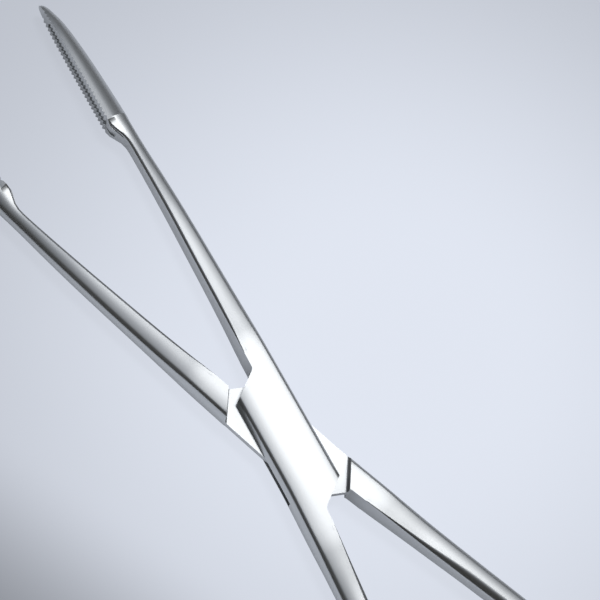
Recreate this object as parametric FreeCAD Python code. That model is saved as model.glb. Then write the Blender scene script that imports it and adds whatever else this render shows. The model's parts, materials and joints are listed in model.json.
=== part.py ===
"""Ring-handled dressing forceps with a box lock, lying flat, half open.

Each arm is drawn closed, with the meeting line of the jaws on the Y axis,
the jaws towards +Y and the pivot on the Z axis. It is then swung open.
The middle plane of the instrument is drawn at z = 0 and lifted at the end.
"""
import FreeCAD, Part
import math
import os

V = FreeCAD.Vector

# Whole instrument, in millimetres and degrees
REST_SWING = 9.55          # each arm stands this far from the closed line
LOCK_THICK = 6.2           # over the flats of the box lock

# Jaws
TIP_REACH = 105.5          # pivot axis to jaw tip
JAW_LENGTH = 30.5          # toothed face, tip to base corner
JAW_HALF_WIDTH = 3.1       # across the toothed face
JAW_DEPTH = 4.75           # face to back, at the base
TOOTH_PITCH = 0.98
TOOTH_DEPTH = 0.5
TOOTH_MESH = 0.36          # how far the closed rows reach into each other
TOOTH_MARGIN = 0.3         # plain strip at the base corner
TOOTH_TIP_MARGIN = 1.6     # plain end at the tip
MESH_GAP = 0.06            # between the plain strips when the jaws are closed
CHANNEL_WIDTH = 1.7
CHANNEL_DEPTH = 0.85
CHANNEL_BEVEL = 0.3        # along its bottom edges
CHANNEL_RUN_IN = 4.0       # how far it starts before the base corner
CHANNEL_STOP = 5.2         # plain length between the channel and the tip

# Shanks between the lock and the jaws
SHANK_END_THICK = 4.3      # behind the jaw
SHANK_MID_THICK = 4.9
SHANK_BULGE = 0.4          # how far the outer walls stand out at mid height
SHANK_FALL = 0.27          # fall of the crowned faces towards the outer edges
OUTER_EDGE = 0.6           # slanted strip along the outer edges
INNER_EDGE = 0.75          # slanted strip along the inner edges
EDGE_SLOPE = 35.0          # of these strips, from the faces

# Handles and finger rings
HANDLE_THICK = 5.4
HANDLE_EDGE = 1.0          # slanted strip along the inner edges
RING_CENTRE_X = 14.2       # from the closed line
RING_CENTRE_Y = 130.0      # from the pivot axis
RING_HALF_LENGTH = 17.0
RING_HALF_WIDTH = 13.5
RING_END_RADIUS = 10.0     # bend of the middle line at the two ends
RING_ROD_WIDTH = 4.4       # oval bar of the ring, seen from above
RING_ROD_THICK = 5.2

# Box lock
BOX_HALF_WIDTH = 5.7       # at mid height
BOX_BULGE = 0.6
BOX_FALL = 0.16            # fall of the face from the flat to the edge
BOX_EDGE = 0.55            # slanted strip along the edges
BOX_FLAT_HALF = 1.9        # half width of the flat that the lock lies on
LOCK_REACH = 15.3          # pivot axis to the corner where shoulder meets shank
LOCK_CORNER_X = 0.5        # that corner, from the closed line
SHOULDER_SLOPE = 38.0      # shoulders, from the square
CORNER_ROUND = 1.2
SHOULDER_GAP = 0.55        # between the shoulders of the two arms when closed
FLAT_THICK = 1.7           # middle tongue of the through arm
FLAT_CLEARANCE = 0.06      # each side, inside the slot
SLOT_END_GAP = 0.7
TONGUE_RAMP = 0.45         # small fillet where the tongue meets its shoulders

# Pin
PIN_RADIUS = 2.0
PIN_CLEARANCE = 0.04       # radial, in the through arm

HALF = LOCK_THICK / 2
JOINT_Y = 19.0             # where the lock block ends and the shanks begin
EDGE_SIN = math.sin(math.radians(EDGE_SLOPE))
EDGE_COS = math.cos(math.radians(EDGE_SLOPE))


def arc(first, middle, last, y):
    points = [V(p[0], y, p[1]) for p in (first, middle, last)]
    return Part.Arc(*points).toShape()


def line(first, last, y):
    return Part.makeLine(V(first[0], y, first[1]), V(last[0], y, last[1]))


def flip(p):
    """The same point below the middle plane."""
    return (p[0], -p[1])


def outer_corner(x_flat, x_side, top, fall, edge, bulge):
    """Middle and end of the crown, and the top of the bulged wall beside it."""
    out = 1 if x_side > x_flat else -1
    wall = (x_side - out * bulge, top - fall - edge * EDGE_SIN)
    crown_end = (wall[0] - out * edge * EDGE_COS, top - fall)
    run = abs(crown_end[0] - x_flat)
    radius = (run * run + fall * fall) / (2 * fall)
    turn = math.asin(run / radius) / 2
    middle = (x_flat + out * radius * math.sin(turn), top - radius * (1 - math.cos(turn)))
    return middle, crown_end, wall


def bar_section(y, x_in, x_out, half, inner_edge, outer_edge, fall, bulge, flat):
    """Section of a shank: flat inside, crowned faces, bulged outside, slanted edges."""
    middle, crown_end, wall = outer_corner(flat, x_out, half, fall, outer_edge, bulge)
    face_start = (x_in + inner_edge * EDGE_COS, half)
    side_top = (x_in, half - inner_edge * EDGE_SIN)
    flat_end = (flat, half)
    edges = [arc(flip(wall), (x_out, 0), wall, y),
             line(wall, crown_end, y),
             arc(crown_end, middle, flat_end, y),
             line(flat_end, face_start, y),
             line(face_start, side_top, y),
             line(side_top, flip(side_top), y),
             line(flip(side_top), flip(face_start), y),
             line(flip(face_start), flip(flat_end), y),
             arc(flip(flat_end), flip(middle), flip(crown_end), y),
             line(flip(crown_end), flip(wall), y)]
    return Part.Wire(edges)


# Shank towards the jaw: y, inner side, outer side, half thickness, inner and outer
# slanted edge, fall of the face, bulge of the wall, and the end of the flat strip.
SHARP = 0.06
JAW_SHANK = [
    (JOINT_Y, 0.62, 5.80, HALF, SHARP, BOX_EDGE, BOX_FALL, BOX_BULGE, BOX_FLAT_HALF),
    (24.0, 0.80, 5.74, 2.85, 0.35, 0.58, 0.22, 0.50, 2.1),
    (31.0, 1.05, 5.64, 2.62, INNER_EDGE, OUTER_EDGE, SHANK_FALL, SHANK_BULGE, 2.3),
    (42.0, 1.38, 5.54, SHANK_MID_THICK / 2, INNER_EDGE, OUTER_EDGE, SHANK_FALL, SHANK_BULGE, 2.5),
    (52.0, 1.68, 5.36, 2.42, INNER_EDGE, OUTER_EDGE, SHANK_FALL, SHANK_BULGE, 2.6),
    (60.0, 1.80, 5.10, 2.25, 0.70, OUTER_EDGE, SHANK_FALL, SHANK_BULGE, 2.6),
    (67.0, 1.84, 4.78, SHANK_END_THICK / 2, 0.60, OUTER_EDGE, SHANK_FALL, SHANK_BULGE, 2.6),
    (72.0, 1.66, 4.62, SHANK_END_THICK / 2, 0.50, OUTER_EDGE, SHANK_FALL, SHANK_BULGE, 2.5),
    (75.0, 1.30, 4.50, SHANK_END_THICK / 2, 0.45, OUTER_EDGE, SHANK_FALL, SHANK_BULGE, 2.3),
    (77.5, 1.30, 4.10, 1.70, 0.45, OUTER_EDGE, SHANK_FALL, SHANK_BULGE, 2.3),
]

# Handle, drawn in the same way and then turned half round the pivot
RING_TOP = RING_CENTRE_Y - RING_HALF_LENGTH
HANDLE_SHANK = [
    (JOINT_Y, 0.80, 6.25, HALF, SHARP, BOX_EDGE, BOX_FALL, BOX_BULGE, BOX_FLAT_HALF),
    (23.0, 1.18, 6.38, 2.90, 0.22, 0.58, 0.22, 0.50, 2.3),
    (30.0, 1.75, 6.68, HANDLE_THICK / 2, 0.50, OUTER_EDGE, SHANK_FALL, SHANK_BULGE, 3.0),
    (45.0, 3.08, 7.60, HANDLE_THICK / 2, HANDLE_EDGE, OUTER_EDGE, SHANK_FALL, SHANK_BULGE, 4.5),
    (65.0, 4.80, 9.05, HANDLE_THICK / 2, HANDLE_EDGE, OUTER_EDGE, SHANK_FALL, SHANK_BULGE, 6.2),
    (83.0, 6.50, 10.70, 2.60, HANDLE_EDGE, OUTER_EDGE, SHANK_FALL, SHANK_BULGE, 7.9),
    (101.0, 8.65, 12.85, 2.50, HANDLE_EDGE, OUTER_EDGE, SHANK_FALL, SHANK_BULGE, 10.1),
    (109.0, 9.90, 14.85, 2.45, HANDLE_EDGE, OUTER_EDGE, SHANK_FALL, SHANK_BULGE, 11.8),
    (RING_TOP, 10.60, 17.25, 2.35, HANDLE_EDGE, 0.70, 0.40, SHANK_BULGE, 13.2),
    (RING_TOP + 2.4, 11.20, 17.05, 2.10, HANDLE_EDGE, 0.70, 0.40, SHANK_BULGE, 13.4),
]

# Lock block: y, left side, right side at mid height
LOCK_BLOCK = [
    (-JOINT_Y, -6.25, 5.55),
    (-7.0, -5.76, BOX_HALF_WIDTH - 0.05),
    (7.0, 0.05 - BOX_HALF_WIDTH, 5.76),
    (JOINT_Y, -5.55, 5.80),
]

# Jaw: share of the jaw length from base to tip, half width, depth
JAW_FORM = [
    (0.0, 1.0, 1.0),
    (0.25, 1.0, 0.93),
    (0.5, 0.98, 0.83),
    (0.69, 0.91, 0.715),
    (0.81, 0.79, 0.605),
    (0.91, 0.61, 0.435),
    (0.967, 0.42, 0.305),
    (0.99, 0.28, 0.20),
    (1.0, 0.16, 0.10),
]

# Heel of the jaw, where it swells out of the shank: distance before the base
# corner, face set back, half width, depth
JAW_ROOT = [
    (4.8, 1.85, 1.30, 4.30),
    (3.2, 1.10, 1.65, 4.50),
    (2.0, 0.45, 1.95, 4.65),
    (1.1, 0.15, 2.30, 4.72),
    (0.4, 0.12, 2.80, 4.76),
]
CHEEK_SHARE = 0.22         # straight part of the sides, from the face
CHEEK_LEAN = 0.12          # how far the cheeks lean in, for each millimetre
BACK_FULLNESS = 0.5


def bar(table):
    return Part.makeLoft([bar_section(*row) for row in table], True, True)


def block_section(y, left, right):
    """Section of the lock: flat in the middle, crowned and bulged to both sides."""
    right_mid, right_end, right_wall = outer_corner(BOX_FLAT_HALF, right, HALF, BOX_FALL, BOX_EDGE, BOX_BULGE)
    left_mid, left_end, left_wall = outer_corner(-BOX_FLAT_HALF, left, HALF, BOX_FALL, BOX_EDGE, BOX_BULGE)
    right_flat = (BOX_FLAT_HALF, HALF)
    left_flat = (-BOX_FLAT_HALF, HALF)
    edges = [arc(flip(right_wall), (right, 0), right_wall, y),
             line(right_wall, right_end, y),
             arc(right_end, right_mid, right_flat, y),
             line(right_flat, left_flat, y),
             arc(left_flat, left_mid, left_end, y),
             line(left_end, left_wall, y),
             arc(left_wall, (left, 0), flip(left_wall), y),
             line(flip(left_wall), flip(left_end), y),
             arc(flip(left_end), flip(left_mid), flip(left_flat), y),
             line(flip(left_flat), flip(right_flat), y),
             arc(flip(right_flat), flip(right_mid), flip(right_end), y),
             line(flip(right_end), flip(right_wall), y)]
    return Part.Wire(edges)


def lock_block():
    return Part.makeLoft([block_section(*row) for row in LOCK_BLOCK], True, True)


def prism(points, low, high):
    """Upright prism on a plan outline."""
    corners = [V(x, y, low) for x, y in points]
    face = Part.Face(Part.makePolygon(corners + corners[:1]))
    return face.extrude(V(0, 0, high - low))


def half_turn(shape):
    copy = shape.copy()
    copy.rotate(V(0, 0, 0), V(0, 0, 1), 180)
    return copy


RISE = math.tan(math.radians(SHOULDER_SLOPE))
FAR = 12.0


def lock_line(x, gap):
    """Line that closes the lock towards the jaws on the far side, set out by a gap."""
    return LOCK_REACH + gap / math.cos(math.radians(SHOULDER_SLOPE)) - RISE * (x + LOCK_CORNER_X)


def lock_zone(gap, low, high):
    """Upright block between the two slanted end lines of the lock."""
    points = [(-FAR, lock_line(-FAR, gap)), (FAR, lock_line(FAR, gap)),
              (FAR, -lock_line(-FAR, gap)), (-FAR, -lock_line(FAR, gap))]
    return prism(points, low, high)


def lock_notch():
    """Space beside the shank and above the shoulder, with its corner rounded."""
    top_x = JAW_SHANK[0][1]
    points = [(LOCK_CORNER_X, LOCK_REACH), (top_x, JOINT_Y), (top_x, JOINT_Y + 1),
              (-FAR, JOINT_Y + 1), (-FAR, LOCK_REACH - RISE * (LOCK_CORNER_X + FAR))]
    notch = prism(points, -LOCK_THICK, LOCK_THICK)
    corner = [edge for edge in notch.Edges
              if all(math.hypot(v.X - LOCK_CORNER_X, v.Y - LOCK_REACH) < 0.001 for v in edge.Vertexes)]
    return notch.makeFillet(CORNER_ROUND, corner)


CREST = -TOOTH_MESH / 2
BASE_Y = TIP_REACH - JAW_LENGTH


def jaw_section(y, face_x, half_width, depth):
    """D section: straight gripping face, short cheeks, rounded back."""
    cheek = CHEEK_SHARE * (depth - face_x)
    cheek_x = face_x + cheek
    cheek_z = half_width - CHEEK_LEAN * cheek
    pull = BACK_FULLNESS * (depth - cheek_x)
    pull_z = cheek_z - CHEEK_LEAN * pull
    top = V(face_x, y, half_width)
    top_cheek = V(cheek_x, y, cheek_z)
    back = V(depth, y, 0)
    foot_cheek = V(cheek_x, y, -cheek_z)
    foot = V(face_x, y, -half_width)
    upper = Part.BezierCurve()
    upper.setPoles([top_cheek, V(cheek_x + pull, y, pull_z), V(depth, y, BACK_FULLNESS * cheek_z), back])
    lower = Part.BezierCurve()
    lower.setPoles([back, V(depth, y, -BACK_FULLNESS * cheek_z), V(cheek_x + pull, y, -pull_z), foot_cheek])
    return Part.Wire([Part.makeLine(top, top_cheek), upper.toShape(), lower.toShape(),
                      Part.makeLine(foot_cheek, foot), Part.makeLine(foot, top)])


def jaw_blank():
    sections = []
    for before, set_back, half_width, depth in JAW_ROOT:
        sections.append(jaw_section(BASE_Y - before, CREST + set_back, half_width, depth))
    for share, width_share, depth_share in JAW_FORM:
        sections.append(jaw_section(BASE_Y + share * JAW_LENGTH, CREST,
                                    JAW_HALF_WIDTH * width_share, JAW_DEPTH * depth_share))
    return Part.makeLoft(sections, True, True)


def tooth_cutter(shift):
    """Comb that leaves pointed ridges between two plain strips of the gripping face."""
    plain = MESH_GAP / 2
    valley = CREST + TOOTH_DEPTH
    start = BASE_Y + TOOTH_MARGIN + shift
    count = int((JAW_LENGTH - TOOTH_TIP_MARGIN) / TOOTH_PITCH)
    end = start + count * TOOTH_PITCH
    outline = [(-FAR, BASE_Y - FAR), (plain, BASE_Y - FAR), (plain, start)]
    for i in range(count):
        outline.append((valley, start + (i + 0.5) * TOOTH_PITCH))
        outline.append((CREST, start + (i + 1) * TOOTH_PITCH))
    outline[-1] = (plain, end)
    outline += [(plain, TIP_REACH + 1), (-FAR, TIP_REACH + 1)]
    return prism(outline, -LOCK_THICK, LOCK_THICK)


def channel_cutter():
    """Channel along the middle of the gripping face, with a round end and bevelled bottom."""
    half = CHANNEL_WIDTH / 2
    start = BASE_Y - CHANNEL_RUN_IN
    end = TIP_REACH - CHANNEL_STOP
    sides = [Part.makeLine(V(-FAR, end, -half), V(-FAR, start, -half)),
             Part.makeLine(V(-FAR, start, -half), V(-FAR, start, half)),
             Part.makeLine(V(-FAR, start, half), V(-FAR, end, half)),
             Part.Arc(V(-FAR, end, half), V(-FAR, end + half, 0), V(-FAR, end, -half)).toShape()]
    bottom_x = CREST + CHANNEL_DEPTH
    groove = Part.Face(Part.Wire(sides)).extrude(V(FAR + bottom_x, 0, 0))
    bottom = [edge for edge in groove.Edges
              if all(abs(v.X - bottom_x) < 0.001 for v in edge.Vertexes)
              and any(abs(v.Y - end) < 0.001 for v in edge.Vertexes)]
    return groove.makeChamfer(CHANNEL_BEVEL, bottom)


def finger_ring():
    """Oval ring of four arcs that run smoothly into each other."""
    long_half = RING_HALF_LENGTH - RING_ROD_WIDTH / 2
    short_half = RING_HALF_WIDTH - RING_ROD_WIDTH / 2
    end_set = long_half - RING_END_RADIUS
    spare = short_half - RING_END_RADIUS
    side_radius = (end_set ** 2 + short_half ** 2 - RING_END_RADIUS ** 2) / (2 * spare)
    side_set = side_radius - short_half
    end_angle = math.degrees(math.atan2(side_set, end_set))
    side_angle = 90 - end_angle

    def stretch(centre, radius, direction, half_angle):
        """Part of the ring with one centre, half_angle to each side of a direction."""
        start = math.radians(direction - half_angle)
        across = V(math.cos(start), math.sin(start), 0)
        middle = centre + across * radius
        top = middle + V(0, 0, RING_ROD_THICK / 2)
        oval = Part.Ellipse(top, middle + across * (RING_ROD_WIDTH / 2), middle)
        halves = [Part.ArcOfEllipse(oval, 0, math.pi).toShape(),
                  Part.ArcOfEllipse(oval, math.pi, 2 * math.pi).toShape()]
        return Part.Face(Part.Wire(halves)).revolve(centre, V(0, 0, 1), 2 * half_angle)

    pieces = []
    for side in (1, -1):
        end_centre = V(0, side * end_set, 0)
        side_centre = V(-side * side_set, 0, 0)
        pieces.append(stretch(end_centre, RING_END_RADIUS, 90 * side, end_angle))
        pieces.append(stretch(side_centre, side_radius, 90 - 90 * side, side_angle))
    ring = pieces[0].fuse(pieces[1:])
    ring.translate(V(-RING_CENTRE_X, -RING_CENTRE_Y, 0))
    return ring


def arm_blank(tooth_shift):
    """One arm, closed, jaw on the +X side, with the lock left full and unbored."""
    notch = lock_notch()
    lock = lock_block().cut([notch, half_turn(notch)])
    jaw = jaw_blank().cut([tooth_cutter(tooth_shift), channel_cutter()])
    handle = half_turn(bar(HANDLE_SHANK))
    return lock, bar(JAW_SHANK), jaw, handle, finger_ring()


def pin_bore(clearance):
    return Part.makeCylinder(PIN_RADIUS + clearance, 2 * LOCK_THICK, V(0, 0, -LOCK_THICK))


def make_box_arm():
    lock, shank, jaw, handle, ring = arm_blank(0.0)
    half_slot = FLAT_THICK / 2 + FLAT_CLEARANCE
    lock = lock.cut([lock_zone(SLOT_END_GAP, -half_slot, half_slot), pin_bore(0.0)])
    return lock.fuse([shank, jaw, handle, ring])


def make_through_arm():
    lock, shank, jaw, handle, ring = arm_blank(TOOTH_PITCH / 2)
    above = lock_zone(SHOULDER_GAP, FLAT_THICK / 2, LOCK_THICK)
    foot = [edge for edge in above.Edges
            if all(abs(v.Z - FLAT_THICK / 2) < 0.001 for v in edge.Vertexes)
            and abs(edge.Vertexes[0].X - edge.Vertexes[1].X) > FAR]
    above = above.makeFillet(TONGUE_RAMP, foot)
    below = above.mirror(V(0, 0, 0), V(0, 0, 1))
    lock = lock.cut([above, below, pin_bore(PIN_CLEARANCE)])
    return lock.fuse([shank, jaw, handle, ring]).mirror(V(0, 0, 0), V(1, 0, 0))


def make_pin():
    return Part.makeCylinder(PIN_RADIUS, LOCK_THICK, V(0, 0, -HALF))


def place(shape, swing):
    """Swing about the pivot, then lift so that the lock lies on z = 0."""
    shape = shape.copy()
    shape.rotate(V(0, 0, 0), V(0, 0, 1), swing)
    shape.translate(V(0, 0, HALF))
    return shape


parts = {
    "box_arm": place(make_box_arm(), -REST_SWING),
    "through_arm": place(make_through_arm(), REST_SWING),
    "joint_pin": place(make_pin(), 0),
}
os.makedirs("parts", exist_ok=True)
for name, shape in parts.items():
    shape = shape.Solids[0]
    box = shape.BoundBox
    print(name, shape.ShapeType, len(shape.Solids), shape.isValid(), round(shape.Volume, 1),
          round(box.XMin, 2), round(box.XMax, 2), round(box.YMin, 2), round(box.YMax, 2),
          round(box.ZMin, 2), round(box.ZMax, 2))
    shape.exportStep("parts/" + name + ".step")
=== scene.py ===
"""Ring-handled dressing forceps in satin steel, lying half open on a pale table.

Each arm is modelled closed, in millimetres, with the meeting line of the jaws on the
Y axis and the middle plane of the steel at z = 0. It is then swung open, lifted and
brought to metres. Run as a script; the panel lists the steps one by one.
"""
import json
import math

import bpy
from mathutils import Matrix, Vector

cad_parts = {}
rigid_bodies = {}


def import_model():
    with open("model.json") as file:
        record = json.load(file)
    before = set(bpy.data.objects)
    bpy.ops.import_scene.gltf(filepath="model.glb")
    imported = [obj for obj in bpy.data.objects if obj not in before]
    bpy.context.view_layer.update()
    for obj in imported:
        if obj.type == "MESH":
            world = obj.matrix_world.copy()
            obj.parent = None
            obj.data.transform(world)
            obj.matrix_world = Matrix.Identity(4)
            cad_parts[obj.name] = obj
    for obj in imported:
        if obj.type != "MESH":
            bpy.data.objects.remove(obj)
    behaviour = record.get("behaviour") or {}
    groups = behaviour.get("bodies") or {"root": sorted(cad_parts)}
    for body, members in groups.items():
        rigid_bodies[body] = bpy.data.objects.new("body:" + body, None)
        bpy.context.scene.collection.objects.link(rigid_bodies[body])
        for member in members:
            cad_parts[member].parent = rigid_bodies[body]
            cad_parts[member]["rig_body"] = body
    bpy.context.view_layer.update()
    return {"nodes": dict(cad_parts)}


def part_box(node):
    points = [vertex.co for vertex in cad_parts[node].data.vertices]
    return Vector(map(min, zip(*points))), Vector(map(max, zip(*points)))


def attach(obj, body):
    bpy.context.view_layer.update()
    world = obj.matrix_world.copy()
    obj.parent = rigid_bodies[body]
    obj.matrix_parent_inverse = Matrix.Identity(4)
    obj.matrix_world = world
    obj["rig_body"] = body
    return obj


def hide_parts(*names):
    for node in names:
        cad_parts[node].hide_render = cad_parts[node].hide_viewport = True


bl_info = {
    "name": "Dressing forceps",
    "version": (1, 0, 0),
    "blender": (4, 5, 0),
    "location": "View3D > Sidebar > Forceps",
    "description": "Models satin steel dressing forceps around a fixed frame",
    "category": "Object",
}

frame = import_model()
MM = 0.001

# Driving sizes in millimetres and degrees, taken from the frame where it holds them
LOCK_THICK = (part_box("joint_pin")[1].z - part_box("joint_pin")[0].z) / MM
HALF = LOCK_THICK / 2
PIN_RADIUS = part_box("joint_pin")[1].x / MM
REST_SWING = 9.55
PIN_CLEARANCE = 0.04

# Jaws; the tip's reach is from the pivot axis
TIP_REACH = 105.5
JAW_LENGTH = 30.5
JAW_HALF_WIDTH = 3.1
JAW_DEPTH = 4.75
TOOTH_PITCH = 0.98
TOOTH_DEPTH = 0.42
TOOTH_MESH = 0.36
TOOTH_MARGIN = 0.3
TOOTH_TIP_MARGIN = 1.6
MESH_GAP = 0.06
CHANNEL_WIDTH = 1.7
CHANNEL_DEPTH = 0.85
CHANNEL_BEVEL = 0.3
BEVEL_SOFT = 0.3
CHANNEL_RUN_IN = 4.0
CHANNEL_STOP = 5.2
CHEEK_SHARE = 0.22
CHEEK_LEAN = 0.12
BACK_FULLNESS = 0.5
CREST = -TOOTH_MESH / 2
BASE_Y = TIP_REACH - JAW_LENGTH

# Finger rings
RING_CENTRE_X = 14.2
RING_CENTRE_Y = 130.0
RING_HALF_LENGTH = 17.0
RING_HALF_WIDTH = 13.5
RING_END_RADIUS = 10.0
RING_ROD_WIDTH = 4.4
RING_ROD_THICK = 5.2
RING_TOP = RING_CENTRE_Y - RING_HALF_LENGTH
HANDLE_END = RING_TOP + 2.4

# Box lock
BOX_FLAT_HALF = 1.9
BOX_BULGE = 0.6
BOX_FALL = 0.16
BOX_EDGE = 0.55
LOCK_REACH = 15.3
LOCK_CORNER_X = 0.5
SHOULDER_SLOPE = 38.0
CORNER_ROUND = 1.2
SHOULDER_GAP = 0.55
FLAT_THICK = 1.7
FLAT_CLEARANCE = 0.06
SLOT_END_GAP = 0.7
TONGUE_RAMP = 0.45
JOINT_Y = 19.0
RISE = math.tan(math.radians(SHOULDER_SLOPE))

# How far the cutting shapes reach beside the steel and past its ends
FAR = 12.0
PAST = 1.0

# Slanted edges, bulged walls and crowned faces of the shanks
EDGE_SLOPE = math.radians(35.0)
SHANK_BULGE = 0.4
SHANK_FALL = 0.26
OUTER_EDGE = 0.75
INNER_EDGE = 0.55
HANDLE_EDGE = 1.3

# Shanks towards the jaw and towards the ring: y, inner side, outer side, half thickness,
# inner and outer slanted edge, fall of the face, bulge of the wall, end of the flat
# strip. The handle's y counts backwards.
JAW_SHANK = [
    (JOINT_Y, 0.62, 5.80, HALF, 0.06, BOX_EDGE, BOX_FALL, BOX_BULGE, BOX_FLAT_HALF),
    (21.5, 0.71, 5.77, 3.08, 0.18, 0.60, 0.18, 0.55, 2.0),
    (25.0, 0.84, 5.73, 2.90, 0.40, 0.72, 0.20, 0.48, 2.1),
    (33.0, 1.11, 5.63, 2.60, INNER_EDGE, OUTER_EDGE, SHANK_FALL, SHANK_BULGE, 2.0),
    (42.0, 1.38, 5.54, 2.45, INNER_EDGE, OUTER_EDGE, SHANK_FALL, SHANK_BULGE, 2.1),
    (52.0, 1.68, 5.36, 2.42, INNER_EDGE, OUTER_EDGE, SHANK_FALL, SHANK_BULGE, 2.3),
    (60.0, 1.80, 5.10, 2.25, INNER_EDGE, OUTER_EDGE, SHANK_FALL, SHANK_BULGE, 2.4),
    (67.0, 1.84, 4.78, 2.15, 0.52, OUTER_EDGE, SHANK_FALL, SHANK_BULGE, 2.4),
    (69.0, 1.80, 4.72, 2.15, 0.50, OUTER_EDGE, 0.26, SHANK_BULGE, 2.4),
    (70.4, 1.62, 4.68, 2.20, 0.44, 0.72, 0.28, 0.42, 2.2),
    (71.8, 1.08, 4.65, 2.32, 0.38, 0.70, 0.32, 0.45, 1.9),
    (73.0, 0.46, 4.63, 2.50, 0.32, 0.66, 0.38, 0.50, 1.6),
    (74.0, 0.16, 4.62, 2.68, 0.28, 0.62, 0.44, 0.55, 1.4),
    (75.3, 0.08, 4.62, 2.92, 0.24, 0.58, 0.52, 0.60, 1.2),
]
HANDLE_SHANK = [
    (JOINT_Y, 0.80, 6.25, HALF, 0.06, BOX_EDGE, BOX_FALL, BOX_BULGE, BOX_FLAT_HALF),
    (21.5, 1.03, 6.34, 3.08, 0.14, 0.60, 0.18, 0.55, 2.1),
    (25.0, 1.34, 6.46, 2.93, 0.30, 0.72, 0.20, 0.48, 2.5),
    (33.0, 2.02, 6.84, 2.70, 0.68, OUTER_EDGE, SHANK_FALL, SHANK_BULGE, 3.3),
    (45.0, 3.08, 7.60, 2.70, HANDLE_EDGE, OUTER_EDGE, SHANK_FALL, SHANK_BULGE, 4.5),
    (65.0, 4.80, 9.05, 2.70, HANDLE_EDGE, OUTER_EDGE, SHANK_FALL, SHANK_BULGE, 6.2),
    (83.0, 6.50, 10.70, 2.60, HANDLE_EDGE, OUTER_EDGE, SHANK_FALL, SHANK_BULGE, 7.9),
    (101.0, 8.65, 12.85, 2.50, HANDLE_EDGE, OUTER_EDGE, SHANK_FALL, SHANK_BULGE, 10.1),
    (109.0, 9.90, 14.85, 2.45, HANDLE_EDGE, OUTER_EDGE, SHANK_FALL, SHANK_BULGE, 11.8),
    (RING_TOP, 10.60, 17.25, 2.35, HANDLE_EDGE, 0.70, 0.40, SHANK_BULGE, 13.2),
    (HANDLE_END, 11.20, 17.05, 2.10, HANDLE_EDGE, 0.70, 0.40, SHANK_BULGE, 13.4),
]

# Lock before its notches are cut: y, left and right half width
LOCK_BLOCK = [
    (-JOINT_Y, 6.25, 5.55),
    (-7.0, 5.76, 5.65),
    (7.0, 5.65, 5.76),
    (JOINT_Y, 5.55, 5.80),
]

# Jaw: share of its length, of its half width and of its depth
JAW_FORM = [
    (0.0, 1.0, 1.0),
    (0.25, 1.0, 0.93),
    (0.5, 0.98, 0.83),
    (0.69, 0.91, 0.715),
    (0.81, 0.79, 0.605),
    (0.91, 0.61, 0.435),
    (0.967, 0.42, 0.305),
    (0.99, 0.28, 0.20),
    (1.0, 0.16, 0.10),
]

# Root of the jaw inside the shank: distance before the jaw, setback of the gripping face,
# half width, depth
JAW_ROOT = [
    (4.8, 1.85, 1.30, 4.30),
    (3.2, 1.10, 1.65, 4.50),
    (2.0, 0.45, 1.95, 4.65),
    (1.1, 0.15, 2.30, 4.72),
    (0.4, 0.12, 2.80, 4.76),
]

# How finely the sections are divided
WALL_STEPS = 6
BLEND_STEPS = 4
CROWN_STEPS = 8
FLAT_STEPS = 4
CHEEK_STEPS = 3
BACK_STEPS = 16
CORNER_STEPS = 6
RAMP_STEPS = 5
CHANNEL_END_STEPS = 16
RING_ARC_STEPS = 24
RING_ROD_STEPS = 28
PIN_STEPS = 64

# How close the sections stand, and how softly their edges turn
STATION_STEP = 1.4
LOCK_STEP = 2.0
ROOT_STEP = 0.45
JAW_STEP = 0.8
TIP_RUN = 3.0
TIP_STEPS = 12
STEP_LENGTH = 0.02
EDGE_SOFT = 0.3
SMOOTH_ANGLE = math.radians(30)


# Sections

def smooth(table, at):
    """Row of a station table at a place between its rows, by a curve with no overshoot."""
    places = [row[0] for row in table]
    i = max(0, min(len(table) - 2, sum(1 for p in places if p <= at) - 1))
    span = places[i + 1] - places[i]
    share = (at - places[i]) / span
    row = []
    for column in range(1, len(table[0])):
        values = [r[column] for r in table]
        slopes = [(values[k + 1] - values[k]) / (places[k + 1] - places[k])
                  for k in range(len(table) - 1)]

        def tangent(k):
            if k == 0 or k == len(table) - 1:
                return slopes[min(k, len(slopes) - 1)]
            before, after = slopes[k - 1], slopes[k]
            if before * after <= 0:
                return 0.0
            return 2 * before * after / (before + after)

        a, b = tangent(i) * span, tangent(i + 1) * span
        h = share * share * (3 - 2 * share)
        value = values[i] * (1 - h) + values[i + 1] * h
        value += a * share * (1 - share) ** 2 - b * share * share * (1 - share)
        row.append(value)
    return row


def blend(first, corner, last):
    """Points that soften a corner, without the first."""
    points = []
    for k in range(1, BLEND_STEPS + 1):
        t = k / BLEND_STEPS
        points.append(tuple(a * (1 - t) ** 2 + 2 * c * t * (1 - t) + b * t * t
                            for a, c, b in zip(first, corner, last)))
    return points


def between(first, last, share):
    return tuple(a + (b - a) * share for a, b in zip(first, last))


def outer_side(x_out, half, edge, fall, bulge, flat):
    """Quarter section from mid height up: bulged wall, slanted edge and crowned face."""
    wall = (x_out - bulge, half - fall - edge * math.sin(EDGE_SLOPE))
    crown = (wall[0] - edge * math.cos(EDGE_SLOPE), half - fall)
    soft = EDGE_SOFT * edge
    radius = (bulge * bulge + wall[1] ** 2) / (2 * bulge)
    stop = math.asin(wall[1] / radius) - soft / radius
    points = []
    for k in range(WALL_STEPS + 1):
        angle = stop * k / WALL_STEPS
        points.append((x_out - radius * (1 - math.cos(angle)), radius * math.sin(angle)))
    points += blend(points[-1], wall, between(wall, crown, EDGE_SOFT))
    run = crown[0] - flat
    radius = (run * run + fall * fall) / (2 * fall)
    stop = math.asin(run / radius) - soft / radius
    start = (flat + radius * math.sin(stop), half - radius * (1 - math.cos(stop)))
    points.append(between(crown, wall, EDGE_SOFT))
    points += blend(points[-1], crown, start)
    for k in range(1, CROWN_STEPS + 1):
        angle = stop * (1 - k / CROWN_STEPS)
        points.append((flat + radius * math.sin(angle), half - radius * (1 - math.cos(angle))))
    return points


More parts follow.
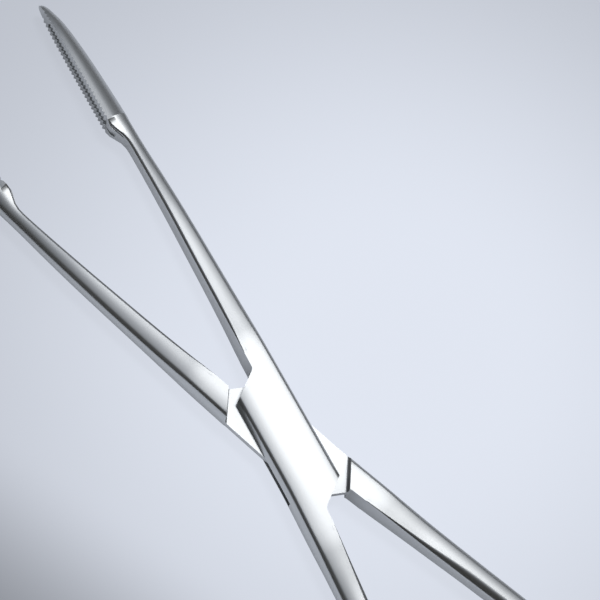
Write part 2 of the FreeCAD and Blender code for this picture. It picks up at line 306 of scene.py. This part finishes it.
def inner_side(x_in, half, edge, flat):
    """The same quarter on the flat inner side, with as many points."""
    wall = (x_in, half - edge * math.sin(EDGE_SLOPE))
    face = (x_in + edge * math.cos(EDGE_SLOPE), half)
    soft = EDGE_SOFT * edge
    points = [(x_in, (wall[1] - soft) * k / WALL_STEPS) for k in range(WALL_STEPS + 1)]
    points += blend(points[-1], wall, between(wall, face, EDGE_SOFT))
    points.append(between(face, wall, EDGE_SOFT))
    points += blend(points[-1], face, (face[0] + soft, half))
    middle = ((points[-1][0] + flat) / 2, half)
    points += [between(points[-1], middle, k / CROWN_STEPS) for k in range(1, CROWN_STEPS + 1)]
    return points


def ring_of(y, right, left, turned=False):
    """Closed section from its two upper quarters; turned puts it across the pivot."""
    middle = [between(right[-1], left[-1], k / FLAT_STEPS) for k in range(1, FLAT_STEPS)]
    top = right + middle + left[::-1]
    if turned:
        top = [(-x, z) for x, z in top[::-1]]
        y = -y
    return [(x, y, z) for x, z in top + [(x, -z) for x, z in top[-2:0:-1]]]


def bar_ring(table, y, turned=False):
    x_in, x_out, half, inner_edge, outer_edge, fall, bulge, flat = smooth(table, y)
    outer = outer_side(x_out, half, outer_edge, fall, bulge, flat)
    return ring_of(y, outer, inner_side(x_in, half, inner_edge, flat), turned)


def block_ring(y):
    left, right = (outer_side(x, HALF, BOX_EDGE, BOX_FALL, BOX_BULGE, BOX_FLAT_HALF)
                   for x in smooth(LOCK_BLOCK, y))
    return ring_of(y, right, [(-x, z) for x, z in left])


def stations(first, last, step=STATION_STEP):
    count = max(2, round(abs(last - first) / step))
    return [first + (last - first) * k / count for k in range(count + 1)]


# Modelling tools

def start_clean():
    if bpy.context.object is not None and bpy.context.object.mode != "OBJECT":
        bpy.ops.object.mode_set(mode="OBJECT")
    bpy.ops.object.select_all(action="DESELECT")


def only(obj):
    start_clean()
    obj.select_set(True)
    bpy.context.view_layer.objects.active = obj


def recalculate(obj):
    only(obj)
    bpy.ops.object.mode_set(mode="EDIT")
    bpy.ops.mesh.select_all(action="SELECT")
    bpy.ops.mesh.normals_make_consistent(inside=False)
    bpy.ops.object.mode_set(mode="OBJECT")


def loft(name, rings):
    """Solid drawn as one closed section that is extruded from station to station."""
    start_clean()
    bpy.ops.mesh.primitive_circle_add(vertices=len(rings[0]), radius=1.0, fill_type="NGON")
    obj = bpy.context.object
    obj.name = name
    bpy.ops.object.mode_set(mode="EDIT")
    bpy.ops.mesh.select_all(action="SELECT")
    for _ in rings[1:]:
        bpy.ops.mesh.extrude_region_move(TRANSFORM_OT_translate={"value": (0, 0, 1)})
    bpy.ops.object.mode_set(mode="OBJECT")
    flat = [c for ring in rings for point in ring for c in point]
    obj.data.vertices.foreach_set("co", flat)
    obj.data.update()
    recalculate(obj)
    return obj


def prism(name, outline, low, high):
    """Upright solid on a plan outline."""
    return loft(name, [[(x, y, low) for x, y in outline], [(x, y, high) for x, y in outline]])


def combine(obj, other, operation):
    modifier = obj.modifiers.new("combine", "BOOLEAN")
    modifier.operation = operation
    modifier.solver = "EXACT"
    modifier.object = other
    only(obj)
    bpy.ops.object.modifier_apply(modifier=modifier.name)
    bpy.data.objects.remove(other, do_unlink=True)


def half_turned(points):
    return [(-x, -y) for x, y in points]


def corner_arc(corner, before, after, radius):
    """Points that round the corner between two neighbours of an outline."""
    corner, before, after = Vector(corner), Vector(before), Vector(after)
    a, b = (before - corner).normalized(), (after - corner).normalized()
    half_angle = math.acos(max(-1.0, min(1.0, a.dot(b)))) / 2
    centre = corner + (a + b).normalized() * (radius / math.sin(half_angle))
    start = corner + a * (radius / math.tan(half_angle)) - centre
    end = corner + b * (radius / math.tan(half_angle)) - centre
    total = start.angle(end)
    points = []
    for k in range(CORNER_STEPS + 1):
        t = k / CORNER_STEPS
        mix = start * math.sin((1 - t) * total) + end * math.sin(t * total)
        points.append(tuple(centre + mix / math.sin(total)))
    return points


# Lock

def lock_line(x, gap):
    return LOCK_REACH + gap / math.cos(math.radians(SHOULDER_SLOPE)) - RISE * (x + LOCK_CORNER_X)


def lock_zone(gap):
    return [(-FAR, lock_line(-FAR, gap)), (FAR, lock_line(FAR, gap)),
            (FAR, -lock_line(-FAR, gap)), (-FAR, -lock_line(FAR, gap))]


def lock_notch(top_x):
    """Outline of the space beside the shank and above the shoulder."""
    corner = (LOCK_CORNER_X, LOCK_REACH)
    top = (top_x, JOINT_Y)
    low = (-FAR, LOCK_REACH - RISE * (LOCK_CORNER_X + FAR))
    past = JOINT_Y + PAST
    return corner_arc(corner, low, top, CORNER_ROUND) + [top, (top_x, past), (-FAR, past), low]


def make_bar():
    """The arm from ring to jaw root as one swelling bar, with its lock still full width."""
    start = JOINT_Y + STEP_LENGTH
    rings = [bar_ring(HANDLE_SHANK, y, True) for y in stations(HANDLE_END, start)]
    rings += [block_ring(y) for y in stations(-JOINT_Y, JOINT_Y, LOCK_STEP)]
    rings += [bar_ring(JAW_SHANK, y) for y in stations(start, JAW_SHANK[-1][0])]
    return loft("arm", rings)


def cut_lock(arm, female):
    """Cuts both notches, then the slot or the tongue, then the bore of the pin."""
    jaw_side = lock_notch(JAW_SHANK[0][1] - STEP_LENGTH)
    handle_side = half_turned(lock_notch(HANDLE_SHANK[0][1] - STEP_LENGTH))
    for outline in (jaw_side, handle_side):
        combine(arm, prism("notch", outline, -LOCK_THICK, LOCK_THICK), "DIFFERENCE")
    if female:
        slot_half = FLAT_THICK / 2 + FLAT_CLEARANCE
        combine(arm, prism("slot", lock_zone(SLOT_END_GAP), -slot_half, slot_half), "DIFFERENCE")
        bore = PIN_RADIUS
    else:
        for side in (1, -1):
            combine(arm, shoulder_cutter(side), "DIFFERENCE")
        bore = PIN_RADIUS + PIN_CLEARANCE
    bpy.ops.mesh.primitive_cylinder_add(vertices=PIN_STEPS, radius=bore, depth=2 * LOCK_THICK,
                                        location=(0, 0, 0))
    combine(arm, bpy.context.object, "DIFFERENCE")


def shoulder_cutter(side):
    """Space above the tongue, with a small ramp at the foot of each shoulder."""
    rings = []
    for k in range(RAMP_STEPS + 1):
        angle = math.pi / 2 * k / RAMP_STEPS
        inset = TONGUE_RAMP * (1 - math.sin(angle))
        height = FLAT_THICK / 2 + TONGUE_RAMP * (1 - math.cos(angle))
        rings.append([(x, y, side * height) for x, y in lock_zone(SHOULDER_GAP - inset)])
    rings.append([(x, y, side * LOCK_THICK) for x, y in lock_zone(SHOULDER_GAP)])
    return loft("shoulder", rings)


# Jaw

def jaw_ring(y, face_x, half_width, depth):
    """D section: straight gripping face, short cheeks, rounded back."""
    cheek = CHEEK_SHARE * (depth - face_x)
    cheek_x, cheek_z = face_x + cheek, half_width - CHEEK_LEAN * cheek
    pull = BACK_FULLNESS * (depth - cheek_x)
    poles = [(cheek_x, cheek_z), (cheek_x + pull, cheek_z - CHEEK_LEAN * pull),
             (depth, BACK_FULLNESS * cheek_z), (depth, 0)]
    top = [(face_x + cheek * k / CHEEK_STEPS, half_width - CHEEK_LEAN * cheek * k / CHEEK_STEPS)
           for k in range(CHEEK_STEPS)]
    for k in range(BACK_STEPS + 1):
        t = k / BACK_STEPS
        weights = ((1 - t) ** 3, 3 * t * (1 - t) ** 2, 3 * t * t * (1 - t), t ** 3)
        top.append(tuple(sum(w * p[i] for w, p in zip(weights, poles)) for i in range(2)))
    points = top + [(x, -z) for x, z in top[-2::-1]]
    return [(x, y, z) for x, z in points]


def make_jaw(shift):
    """Jaw with its ridges shifted along it, closer sectioned towards the round tip."""
    table = [(BASE_Y - before, CREST + back, half_width, depth)
             for before, back, half_width, depth in JAW_ROOT]
    table += [(BASE_Y + share * JAW_LENGTH, CREST, JAW_HALF_WIDTH * width, JAW_DEPTH * depth)
              for share, width, depth in JAW_FORM]
    places = stations(table[0][0], BASE_Y, ROOT_STEP)
    places += stations(BASE_Y, TIP_REACH - TIP_RUN, JAW_STEP)[1:]
    places += [TIP_REACH - TIP_RUN * (1 - math.sin(math.pi / 2 * k / TIP_STEPS))
               for k in range(1, TIP_STEPS + 1)]
    jaw = loft("jaw", [jaw_ring(y, *smooth(table, y)) for y in places])
    combine(jaw, tooth_cutter(shift), "DIFFERENCE")
    combine(jaw, channel_cutter(), "DIFFERENCE")
    return jaw


def tooth_cutter(shift):
    """Comb that leaves pointed ridges on the gripping face."""
    plain = MESH_GAP / 2
    start = BASE_Y + TOOTH_MARGIN + shift
    count = int((JAW_LENGTH - TOOTH_TIP_MARGIN) / TOOTH_PITCH)
    outline = [(-FAR, BASE_Y - FAR), (plain, BASE_Y - FAR), (plain, start)]
    for k in range(count):
        outline.append((CREST + TOOTH_DEPTH, start + (k + 0.5) * TOOTH_PITCH))
        outline.append((CREST, start + (k + 1) * TOOTH_PITCH))
    outline[-1] = (plain, start + count * TOOTH_PITCH)
    outline += [(plain, TIP_REACH + PAST), (-FAR, TIP_REACH + PAST)]
    return prism("comb", outline, -LOCK_THICK, LOCK_THICK)


def channel_cutter():
    """Channel along the gripping face, with a round end and bevelled bottom."""
    start, end = BASE_Y - CHANNEL_RUN_IN, TIP_REACH - CHANNEL_STOP
    bottom, side = CREST + CHANNEL_DEPTH, CHANNEL_WIDTH / 2
    rings = []
    for x, half in ((-FAR, side), (bottom - CHANNEL_BEVEL, side),
                    (bottom - BEVEL_SOFT * CHANNEL_BEVEL, side - BEVEL_SOFT * CHANNEL_BEVEL),
                    (bottom, side - CHANNEL_BEVEL)):
        points = [(x, start, -half), (x, start, half)]
        for k in range(CHANNEL_END_STEPS + 1):
            angle = math.pi * k / CHANNEL_END_STEPS
            points.append((x, end + half * math.sin(angle), half * math.cos(angle)))
        rings.append(points)
    return loft("channel", rings)


# Finger ring

def make_ring():
    """Oval ring of four arcs, bent from an oval bar."""
    long_half = RING_HALF_LENGTH - RING_ROD_WIDTH / 2
    short_half = RING_HALF_WIDTH - RING_ROD_WIDTH / 2
    end_set = long_half - RING_END_RADIUS
    side_radius = ((end_set ** 2 + short_half ** 2 - RING_END_RADIUS ** 2)
                   / (2 * (short_half - RING_END_RADIUS)))
    side_set = side_radius - short_half
    end_angle = math.atan2(side_set, end_set)
    side_angle = math.pi / 2 - end_angle
    quarter = math.pi / 2
    arcs = [((-side_set, 0), side_radius, -side_angle, side_angle),
            ((0, end_set), RING_END_RADIUS, quarter - end_angle, quarter + end_angle),
            ((side_set, 0), side_radius, math.pi - side_angle, math.pi + side_angle),
            ((0, -end_set), RING_END_RADIUS, -quarter - end_angle, -quarter + end_angle)]
    start_clean()
    bpy.ops.mesh.primitive_torus_add(
        major_segments=len(arcs) * RING_ARC_STEPS, minor_segments=RING_ROD_STEPS,
        major_radius=RING_HALF_WIDTH, minor_radius=RING_ROD_WIDTH / 2)
    ring = bpy.context.object
    places = []
    for (cx, cy), radius, first, last in arcs:
        for k in range(RING_ARC_STEPS):
            angle = first + (last - first) * k / RING_ARC_STEPS
            across = Vector((math.cos(angle), math.sin(angle), 0))
            middle = Vector((cx, cy, 0)) + across * radius
            for m in range(RING_ROD_STEPS):
                turn = 2 * math.pi * m / RING_ROD_STEPS
                places.append(middle + across * (RING_ROD_WIDTH / 2 * math.cos(turn))
                              + Vector((0, 0, RING_ROD_THICK / 2 * math.sin(turn))))
    for vertex, place in zip(ring.data.vertices, places):
        vertex.co = place + Vector((-RING_CENTRE_X, -RING_CENTRE_Y, 0))
    ring.data.update()
    recalculate(ring)
    return ring


# Arms

# From millimetres about the middle plane to metres above the table
LIFTED = Matrix.Scale(MM, 4) @ Matrix.Translation((0, 0, HALF))


def make_arm(name, node, female):
    """One whole arm; the male one is made as the female one and then mirrored."""
    arm = make_bar()
    cut_lock(arm, female)
    combine(arm, make_jaw(0.0 if female else TOOTH_PITCH / 2), "UNION")
    combine(arm, make_ring(), "UNION")
    swing = math.radians(-REST_SWING if female else REST_SWING)
    place = LIFTED @ Matrix.Rotation(swing, 4, "Z")
    if not female:
        place = place @ Matrix.Scale(-1, 4, (1, 0, 0))
    finish_piece(arm, name, node, place)
    if not female:
        arm.data.flip_normals()
    return arm


def finish_piece(obj, name, node, place):
    """Brings a piece to its place in metres, smooths it, and lets it stand for its node."""
    obj.name = name
    obj.data.name = name
    obj.data.transform(place)
    obj.matrix_world = Matrix.Identity(4)
    only(obj)
    bpy.ops.object.shade_smooth_by_angle(angle=SMOOTH_ANGLE)
    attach(obj, frame["nodes"][node]["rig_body"])
    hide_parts(node)
    obj.data.materials.clear()
    obj.data.materials.append(satin_steel())


def make_pin():
    start_clean()
    bpy.ops.mesh.primitive_cylinder_add(vertices=PIN_STEPS, radius=PIN_RADIUS, depth=LOCK_THICK,
                                        location=(0, 0, 0))
    pin = bpy.context.object
    finish_piece(pin, "pin", "joint_pin", LIFTED)
    return pin


# Finish of the steel

GRAIN_BUMP = 0.25
GRAIN_DEPTH = 0.00002
CLOUD_SHADE = 0.93

# Painted shade in the pits between the ridges and in other inner corners: its reach in metres,
# the openness at which the steel is darkest and at which it is plain, and how dark it gets
PIT_SHADE_REACH = 0.0003
PIT_SHADE_OPENNESS = (0.4, 0.95)
PIT_SHADE = 0.03


def grain_group():
    """Fine satin grain and faint cloudiness, shared by every steel finish."""
    name = "satin_grain"
    if name in bpy.data.node_groups:
        return bpy.data.node_groups[name]
    group = bpy.data.node_groups.new(name, "ShaderNodeTree")
    for label, default in (("Grain scale", 9000.0), ("Cloud scale", 220.0),
                           ("Roughness", 0.3), ("Spread", 0.06)):
        socket = group.interface.new_socket(label, in_out="INPUT", socket_type="NodeSocketFloat")
        socket.default_value = default
    for label in ("Roughness", "Height", "Cloud"):
        group.interface.new_socket(label, in_out="OUTPUT", socket_type="NodeSocketFloat")
    nodes, links = group.nodes, group.links
    entry, leave = nodes.new("NodeGroupInput"), nodes.new("NodeGroupOutput")
    place = nodes.new("ShaderNodeTexCoord")
    grain = nodes.new("ShaderNodeTexNoise")
    grain.inputs["Detail"].default_value = 2.0
    cloud = nodes.new("ShaderNodeTexNoise")
    cloud.inputs["Detail"].default_value = 3.0
    links.new(place.outputs["Object"], grain.inputs["Vector"])
    links.new(place.outputs["Object"], cloud.inputs["Vector"])
    links.new(entry.outputs["Grain scale"], grain.inputs["Scale"])
    links.new(entry.outputs["Cloud scale"], cloud.inputs["Scale"])
    centred = nodes.new("ShaderNodeMath")
    centred.operation = "SUBTRACT"
    centred.inputs[1].default_value = 0.5
    links.new(cloud.outputs["Fac"], centred.inputs[0])
    spread = nodes.new("ShaderNodeMath")
    spread.operation = "MULTIPLY_ADD"
    links.new(centred.outputs[0], spread.inputs[0])
    links.new(entry.outputs["Spread"], spread.inputs[1])
    links.new(entry.outputs["Roughness"], spread.inputs[2])
    links.new(spread.outputs[0], leave.inputs["Roughness"])
    links.new(grain.outputs["Fac"], leave.inputs["Height"])
    links.new(cloud.outputs["Fac"], leave.inputs["Cloud"])
    return group


def satin_steel():
    """Bead-blasted and buffed stainless steel."""
    name = "satin_steel"
    if name in bpy.data.materials:
        return bpy.data.materials[name]
    finish = bpy.context.scene.forceps_finish
    material = bpy.data.materials.new(name)
    material.use_nodes = True
    nodes, links = material.node_tree.nodes, material.node_tree.links
    shader = nodes["Principled BSDF"]
    shader.inputs["Metallic"].default_value = 1.0
    grain = nodes.new("ShaderNodeGroup")
    grain.node_tree = grain_group()
    grain.inputs["Roughness"].default_value = finish.roughness
    links.new(grain.outputs["Roughness"], shader.inputs["Roughness"])
    bump = nodes.new("ShaderNodeBump")
    bump.inputs["Strength"].default_value = GRAIN_BUMP
    bump.inputs["Distance"].default_value = GRAIN_DEPTH
    links.new(grain.outputs["Height"], bump.inputs["Height"])
    links.new(bump.outputs["Normal"], shader.inputs["Normal"])
    tint = nodes.new("ShaderNodeMix")
    tint.data_type = "RGBA"
    tint.inputs["A"].default_value = (*finish.steel, 1.0)
    tint.inputs["B"].default_value = (*[c * CLOUD_SHADE for c in finish.steel], 1.0)
    links.new(grain.outputs["Cloud"], tint.inputs["Factor"])
    # Painted shade: ambient occlusion darkens the base colour in the pits between the ridges and
    # in other inner corners
    pit_occlusion = nodes.new("ShaderNodeAmbientOcclusion")
    pit_occlusion.samples = 8
    pit_occlusion.inputs["Distance"].default_value = PIT_SHADE_REACH
    depth = nodes.new("ShaderNodeMapRange")
    depth.inputs["From Min"].default_value, depth.inputs["From Max"].default_value = PIT_SHADE_OPENNESS
    depth.inputs["To Min"].default_value = PIT_SHADE
    links.new(pit_occlusion.outputs["AO"], depth.inputs["Value"])
    painted_shade_colour = nodes.new("ShaderNodeVectorMath")
    painted_shade_colour.operation = "SCALE"
    links.new(tint.outputs["Result"], painted_shade_colour.inputs[0])
    links.new(depth.outputs["Result"], painted_shade_colour.inputs["Scale"])
    links.new(painted_shade_colour.outputs["Vector"], shader.inputs["Base Color"])
    return material


# Stage

# Camera: degrees, then millimetres from its own axes to the lock's middle
CAMERA_TURN, CAMERA_TILT, CAMERA_ROLL = 61.46, 23.62, 23.93
CAMERA_OFFSET = (-2.569, 27.346, 342.263)
CAMERA_CLIP = (0.01, 20.0)
FOCAL_PIXELS = 1773.766
PHOTO_SIDE = 600
SENSOR_WIDTH = 36.0

# Light of the room by the cosine of the angle from the ceiling light's middle
CEILING_AXIS = (0.33, 0.24, 0.91)
CEILING = [
    (0.0, (0.010, 0.008, 0.005)),
    (0.32, (0.016, 0.014, 0.010)),
    (0.5, (0.085, 0.085, 0.080)),
    (0.75, (0.125, 0.133, 0.145)),
    (0.9, (0.17, 0.185, 0.21)),
    (0.955, (0.26, 0.285, 0.34)),
    (0.98, (0.42, 0.46, 0.55)),
    (1.0, (0.64, 0.70, 0.84)),
]
SOFTBOX_PLACE = (0.272, 0.098, 0.7)
SOFTBOX_SIZE = (0.18, 0.19)
SOFTBOX_ALONG = (0.45, 0.89, 0.0)
SOFTBOX_POWER = 1.05

# Table: brightness seen by the camera and the steel, share of it that catches shadows,
# pool of light from its middle to its rim, the dimmer near corner, and how near the
# steel a mirrored spot lies when painted contact shade darkens it
FLOOR_SIZE = 3.0
FLOOR_CELLS = 8
FLOOR_ROUGHNESS = 0.8
FLOOR_GLOW = 0.925
FLOOR_MATT = 0.25
POOL_MIDDLE = (0.033, 0.002, 0.0)
POOL_REACH = (0.02, 0.12)
CORNER_WAY = (-0.95, -0.32, 0.0)
CORNER_REACH = (0.028, 0.062)
CORNER_SHADE = 0.5
CONTACT_SHADE_REACH = 0.006


def add_camera():
    """Camera at the photograph's viewing angle, from its fitted turn, tilt, roll and offset."""
    turn = Matrix.Rotation(math.radians(CAMERA_TURN), 3, "Z")
    tilt = Matrix.Rotation(math.radians(-CAMERA_TILT), 3, "X")
    roll = Matrix.Rotation(math.radians(CAMERA_ROLL), 3, "Z")
    view = roll @ tilt @ Matrix.Diagonal((1, -1, -1)) @ turn
    place = -(view.transposed() @ Vector(CAMERA_OFFSET))
    place.z += HALF
    start_clean()
    bpy.ops.object.camera_add(location=place * MM)
    camera = bpy.context.object
    camera.name = "camera"
    axes = Matrix((view[0], -view[1], -view[2])).transposed()
    camera.rotation_mode = "QUATERNION"
    camera.rotation_quaternion = axes.to_quaternion()
    camera.data.sensor_width = SENSOR_WIDTH
    camera.data.lens = FOCAL_PIXELS * SENSOR_WIDTH / PHOTO_SIDE
    camera.data.clip_start, camera.data.clip_end = CAMERA_CLIP
    bpy.context.scene.camera = camera
    return camera


def fading(nodes, links, value, reach, last):
    """Brightness that fades from 1 to its last value as the value crosses the reach."""
    fall = nodes.new("ShaderNodeMapRange")
    fall.interpolation_type = "SMOOTHSTEP"
    fall.inputs["From Min"].default_value, fall.inputs["From Max"].default_value = reach
    fall.inputs["To Min"].default_value = 1.0
    fall.inputs["To Max"].default_value = last
    links.new(value, fall.inputs["Value"])
    return fall.outputs["Result"]


def multiplied(nodes, links, first, second):
    node = nodes.new("ShaderNodeMath")
    node.operation = "MULTIPLY"
    for socket, value in zip(node.inputs, (first, second)):
        if isinstance(value, float):
            socket.default_value = value
        else:
            links.new(value, socket)
    return node.outputs[0]


def pool_of_light(nodes, links):
    """Colour of the table, brightest in the pool of light, dimmer at its rim and near corner."""
    finish = bpy.context.scene.forceps_finish
    place = nodes.new("ShaderNodeTexCoord")
    reach = nodes.new("ShaderNodeVectorMath")
    reach.operation = "DISTANCE"
    reach.inputs[1].default_value = POOL_MIDDLE
    links.new(place.outputs["Object"], reach.inputs[0])
    corner = nodes.new("ShaderNodeVectorMath")
    corner.operation = "DOT_PRODUCT"
    corner.inputs[1].default_value = CORNER_WAY
    links.new(place.outputs["Object"], corner.inputs[0])
    pool = multiplied(
        nodes, links, fading(nodes, links, reach.outputs["Value"], POOL_REACH, finish.rim),
        fading(nodes, links, corner.outputs["Value"], CORNER_REACH, CORNER_SHADE))
    shade = nodes.new("ShaderNodeVectorMath")
    shade.operation = "SCALE"
    shade.inputs[0].default_value = finish.table
    links.new(pool, shade.inputs["Scale"])
    return shade.outputs["Vector"]


def floor_material():
    """Pale table, seen by camera and steel at its own brightness, with painted shade where the
    steel mirrors it close beside itself.
    """
    material = bpy.data.materials.new("pale_table")
    material.use_nodes = True
    nodes, links = material.node_tree.nodes, material.node_tree.links
    shader = nodes["Principled BSDF"]
    shader.inputs["Roughness"].default_value = FLOOR_ROUGHNESS
    shader.inputs["Specular IOR Level"].default_value = 0.0
    colour = pool_of_light(nodes, links)
    matt = nodes.new("ShaderNodeVectorMath")
    matt.operation = "SCALE"
    matt.inputs["Scale"].default_value = FLOOR_MATT
    links.new(colour, matt.inputs[0])
    links.new(matt.outputs["Vector"], shader.inputs["Base Color"])
    rays = nodes.new("ShaderNodeLightPath")
    # Painted contact shade: ambient occlusion darkens the table's glow where the steel mirrors it
    # close beside itself
    contact_shade = nodes.new("ShaderNodeAmbientOcclusion")
    contact_shade.samples = 4
    contact_shade.inputs["Distance"].default_value = CONTACT_SHADE_REACH
    mirrored = multiplied(nodes, links, rays.outputs["Is Glossy Ray"], contact_shade.outputs["AO"])
    seen = nodes.new("ShaderNodeMath")
    seen.operation = "MAXIMUM"
    links.new(rays.outputs["Is Camera Ray"], seen.inputs[0])
    links.new(mirrored, seen.inputs[1])
    links.new(colour, shader.inputs["Emission Color"])
    glow = multiplied(nodes, links, seen.outputs[0], FLOOR_GLOW)
    links.new(glow, shader.inputs["Emission Strength"])
    return material


def add_floor():
    start_clean()
    bpy.ops.mesh.primitive_grid_add(x_subdivisions=FLOOR_CELLS, y_subdivisions=FLOOR_CELLS,
                                    size=FLOOR_SIZE, location=(0, 0, 0))
    floor = bpy.context.object
    floor.name = "table"
    floor.data.materials.append(floor_material())
    return floor


def add_softbox():
    """Softbox over the lock, aimed at it."""
    start_clean()
    bpy.ops.object.light_add(type="AREA", location=SOFTBOX_PLACE)
    light = bpy.context.object
    light.name = "softbox"
    light.data.shape = "RECTANGLE"
    light.data.size, light.data.size_y = SOFTBOX_SIZE
    light.data.energy = SOFTBOX_POWER
    back = Vector(SOFTBOX_PLACE).normalized()
    along = Vector(SOFTBOX_ALONG)
    along = (along - back * along.dot(back)).normalized()
    light.rotation_mode = "QUATERNION"
    axes = Matrix((along.cross(back), along, back)).transposed()
    light.rotation_quaternion = axes.to_quaternion()
    return light


def add_world():
    """Dim room under a broad soft ceiling light."""
    world = bpy.data.worlds.new("studio")
    bpy.context.scene.world = world
    world.use_nodes = True
    nodes, links = world.node_tree.nodes, world.node_tree.links
    background = nodes["Background"]
    direction = nodes.new("ShaderNodeTexCoord")
    towards = nodes.new("ShaderNodeVectorMath")
    towards.operation = "DOT_PRODUCT"
    towards.inputs[1].default_value = Vector(CEILING_AXIS).normalized()
    ramp = nodes.new("ShaderNodeValToRGB")
    links.new(direction.outputs["Generated"], towards.inputs[0])
    links.new(towards.outputs["Value"], ramp.inputs["Fac"])
    links.new(ramp.outputs["Color"], background.inputs["Color"])
    for place, _ in CEILING[1:-1]:
        ramp.color_ramp.elements.new(place)
    for element, (place, colour) in zip(ramp.color_ramp.elements, CEILING):
        element.position = place
        element.color = (*colour, 1.0)
    background.inputs["Strength"].default_value = 1.0


# Add-on classes

class ForcepsFinish(bpy.types.PropertyGroup):
    """Colours and polish that a user would change."""
    steel: bpy.props.FloatVectorProperty(
        name="Steel", description="Base colour of the steel", subtype="COLOR",
        size=3, min=0.0, max=1.0, default=(0.65, 0.655, 0.65))
    roughness: bpy.props.FloatProperty(
        name="Roughness", description="How satin the steel is",
        default=0.24, min=0.05, max=1.0, subtype="FACTOR")
    table: bpy.props.FloatVectorProperty(
        name="Table", description="Colour of the table", subtype="COLOR",
        size=3, min=0.0, max=1.0, default=(0.75, 0.79, 0.878))
    rim: bpy.props.FloatProperty(
        name="Rim", description="Brightness at the rim of the pool of light",
        default=0.68, min=0.0, max=1.0, subtype="FACTOR")


class FORCEPS_OT_stage(bpy.types.Operator):
    """Table, camera and soft lights"""
    bl_idname = "forceps.stage"
    bl_label = "Stage"

    def execute(self, context):
        add_camera()
        add_floor()
        add_world()
        add_softbox()
        return {"FINISHED"}


class FORCEPS_OT_box_arm(bpy.types.Operator):
    """Female arm, with the slot through its lock"""
    bl_idname = "forceps.box_arm"
    bl_label = "Box arm"

    def execute(self, context):
        make_arm("arm_with_slot", "box_arm", True)
        return {"FINISHED"}


class FORCEPS_OT_through_arm(bpy.types.Operator):
    """Male arm, whose tongue passes through the slot"""
    bl_idname = "forceps.through_arm"
    bl_label = "Through arm"

    def execute(self, context):
        make_arm("arm_with_tongue", "through_arm", False)
        return {"FINISHED"}


class FORCEPS_OT_joint_pin(bpy.types.Operator):
    """Rivet of the lock, ground flush"""
    bl_idname = "forceps.joint_pin"
    bl_label = "Joint pin"

    def execute(self, context):
        make_pin()
        return {"FINISHED"}


class FORCEPS_PT_panel(bpy.types.Panel):
    """Steps of the model, in order"""
    bl_idname = "FORCEPS_PT_panel"
    bl_label = "Forceps"
    bl_space_type = "VIEW_3D"
    bl_region_type = "UI"
    bl_category = "Forceps"

    def draw(self, context):
        column = self.layout.column()
        for step in STEPS:
            column.operator(step.bl_idname)
        for name in ("steel", "roughness", "table", "rim"):
            column.prop(context.scene.forceps_finish, name)


STEPS = (FORCEPS_OT_stage, FORCEPS_OT_box_arm, FORCEPS_OT_through_arm, FORCEPS_OT_joint_pin)
CLASSES = (ForcepsFinish, *STEPS, FORCEPS_PT_panel)


def register():
    for cls in CLASSES:
        bpy.utils.register_class(cls)
    bpy.types.Scene.forceps_finish = bpy.props.PointerProperty(type=ForcepsFinish)


def unregister():
    del bpy.types.Scene.forceps_finish
    for cls in reversed(CLASSES):
        bpy.utils.unregister_class(cls)


def main():
    register()
    bpy.context.scene.view_settings.view_transform = "Standard"
    bpy.ops.forceps.stage()
    bpy.ops.forceps.box_arm()
    bpy.ops.forceps.through_arm()
    bpy.ops.forceps.joint_pin()


if __name__ == "__main__":
    main()
